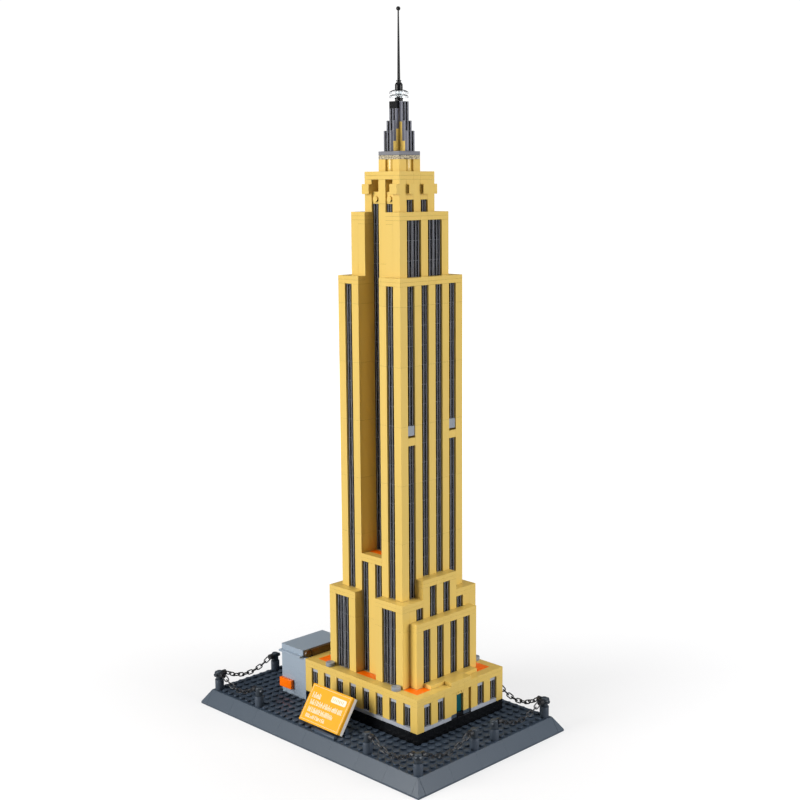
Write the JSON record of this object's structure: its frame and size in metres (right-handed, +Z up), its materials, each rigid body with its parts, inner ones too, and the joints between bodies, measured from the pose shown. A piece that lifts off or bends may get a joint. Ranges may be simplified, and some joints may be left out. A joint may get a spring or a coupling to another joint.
{
  "type": "miniature landmark model",
  "caption": "Stepped skyscraper souvenir of clip-together studded bricks on a studded base with a chain fence, a small annex and a tilting sign.",
  "frame": {"origin": "middle of the base, on the ground", "axes": "+Z up the tower; the entrance looks along -Y and the sign and the annex box along -X"},
  "size_m": [0.176, 0.272, 0.5961],
  "materials": {
    "tan_brick": "satin moulded plastic, warm tan",
    "base_grey": "satin moulded plastic, dark bluish grey",
    "deck_grey": "satin moulded plastic, dark grey",
    "post_grey": "satin moulded plastic, dark grey",
    "chain_black": "moulded plastic, black",
    "black_brick": "glossy moulded plastic, black",
    "window_black": "glossy moulded plastic, black",
    "light_grey": "satin moulded plastic, light bluish grey",
    "mid_grey": "satin moulded plastic, grey",
    "spire_grey": "satin moulded plastic, grey",
    "annex_grey": "satin moulded plastic, cool light grey",
    "orange_tile": "glossy moulded plastic, bright orange",
    "door_teal": "glossy moulded plastic, dark teal",
    "sign_yellow": "glossy moulded plastic, orange yellow with a pale print",
    "sign_white": "satin moulded plastic, white",
    "brown_brick": "satin moulded plastic, brown",
    "clear": "clear moulded plastic"
  },
  "bodies": {
    "root": {"annex_roof": "annex_grey", "annex_trim": "brown_brick", "annex_walls": "annex_grey", "backing_plates": "tan_brick", "base_border": "base_grey", "base_bricks": "deck_grey", "base_corners": "base_grey", "base_deck": "deck_grey", "chain_pegs": "post_grey", "chain_posts": "post_grey", "crown_blocks": "tan_brick", "crown_caps": "tan_brick", "crown_piers": "tan_brick", "crown_stud_bricks": "tan_brick", "entrance_door": "door_teal", "entrance_head": "tan_brick", "entrance_pillars": "tan_brick", "entrance_steps": "base_grey", "lower_tier_caps": "tan_brick", "lower_tier_grilles": "window_black", "lower_tier_piers": "tan_brick", "plinth": "black_brick", "podium_grilles": "window_black", "podium_inner_bricks": "tan_brick", "podium_piers": "tan_brick", "podium_rim": "tan_brick", "podium_roof_tiles": "orange_tile", "podium_sills_and_heads": "light_grey", "rim_round_tiles": "mid_grey", "shaft_caps": "tan_brick", "shaft_grilles": "window_black", "shaft_piers": "tan_brick", "sign_hinge_base": "deck_grey", "sign_hinge_pin": "deck_grey", "spire_core": "tan_brick", "spire_drum": "tan_brick", "spire_end_pieces": "black_brick", "spire_grilles": "spire_grey", "spire_plates": "mid_grey", "strip_tiles": "mid_grey", "tower_core": "tan_brick", "upper_caps": "tan_brick", "upper_grilles": "window_black", "upper_piers": "tan_brick", "wall_box": "orange_tile"},
    "sign": {"sign_tile": "sign_yellow", "sign_plate": "sign_white", "sign_hinge_leaf": "deck_grey"},
    "chain_front_left": {"chain_front_left": "chain_black"},
    "chain_front_right": {"chain_front_right": "chain_black"},
    "chain_back_left": {"chain_back_left": "chain_black"},
    "chain_back_right": {"chain_back_right": "chain_black"},
    "chain_left_front": {"chain_left_front": "chain_black"},
    "chain_left_back": {"chain_left_back": "chain_black"},
    "chain_right_front": {"chain_right_front": "chain_black"},
    "chain_right_back": {"chain_right_back": "chain_black"},
    "spire_neck": {"spire_neck": "black_brick"},
    "dish_lower": {"dish_lower": "clear"},
    "dish_upper": {"dish_upper": "clear"},
    "antenna": {"antenna": "black_brick"}
  },
  "joints": [
    {"name": "chain_front_left_swing", "type": "hinge", "parent": "root", "child": "chain_front_left", "pos_m": [-0.076, -0.124, 0.0272], "axis": [1, 0, 0], "range_deg": [-110, 110]},
    {"name": "chain_front_right_swing", "type": "hinge", "parent": "root", "child": "chain_front_right", "pos_m": [0.012, -0.124, 0.0272], "axis": [1, 0, 0], "range_deg": [-110, 110]},
    {"name": "chain_back_left_swing", "type": "hinge", "parent": "root", "child": "chain_back_left", "pos_m": [-0.076, 0.124, 0.0272], "axis": [1, 0, 0], "range_deg": [-110, 110]},
    {"name": "chain_back_right_swing", "type": "hinge", "parent": "root", "child": "chain_back_right", "pos_m": [0.012, 0.124, 0.0272], "axis": [1, 0, 0], "range_deg": [-110, 110]},
    {"name": "chain_left_front_swing", "type": "hinge", "parent": "root", "child": "chain_left_front", "pos_m": [-0.076, -0.124, 0.0272], "axis": [0, 1, 0], "range_deg": [-110, 110]},
    {"name": "chain_left_back_swing", "type": "hinge", "parent": "root", "child": "chain_left_back", "pos_m": [-0.076, 0.068, 0.0272], "axis": [0, 1, 0], "range_deg": [-110, 110]},
    {"name": "chain_right_front_swing", "type": "hinge", "parent": "root", "child": "chain_right_front", "pos_m": [0.076, -0.124, 0.0272], "axis": [0, 1, 0], "range_deg": [-110, 110]},
    {"name": "chain_right_back_swing", "type": "hinge", "parent": "root", "child": "chain_right_back", "pos_m": [0.076, 0.068, 0.0272], "axis": [0, 1, 0], "range_deg": [-110, 110]},
    {"name": "sign_tilt", "type": "hinge", "parent": "root", "child": "sign", "pos_m": [-0.06518, -0.02, 0.01672], "axis": [0, 1, 0], "range_deg": [0, 30]},
    {"name": "spire_neck_turn", "type": "hinge", "parent": "root", "child": "spire_neck", "pos_m": [0.012, -0.02, 0.52243], "axis": [0, 0, 1], "continuous": true},
    {"name": "dish_lower_turn", "type": "hinge", "parent": "spire_neck", "child": "dish_lower", "pos_m": [0.012, -0.02, 0.52526], "axis": [0, 0, 1], "continuous": true},
    {"name": "dish_upper_turn", "type": "hinge", "parent": "dish_lower", "child": "dish_upper", "pos_m": [0.012, -0.02, 0.52844], "axis": [0, 0, 1], "continuous": true},
    {"name": "antenna_turn", "type": "hinge", "parent": "dish_upper", "child": "antenna", "pos_m": [0.012, -0.02, 0.53162], "axis": [0, 0, 1], "continuous": true}
  ]
}
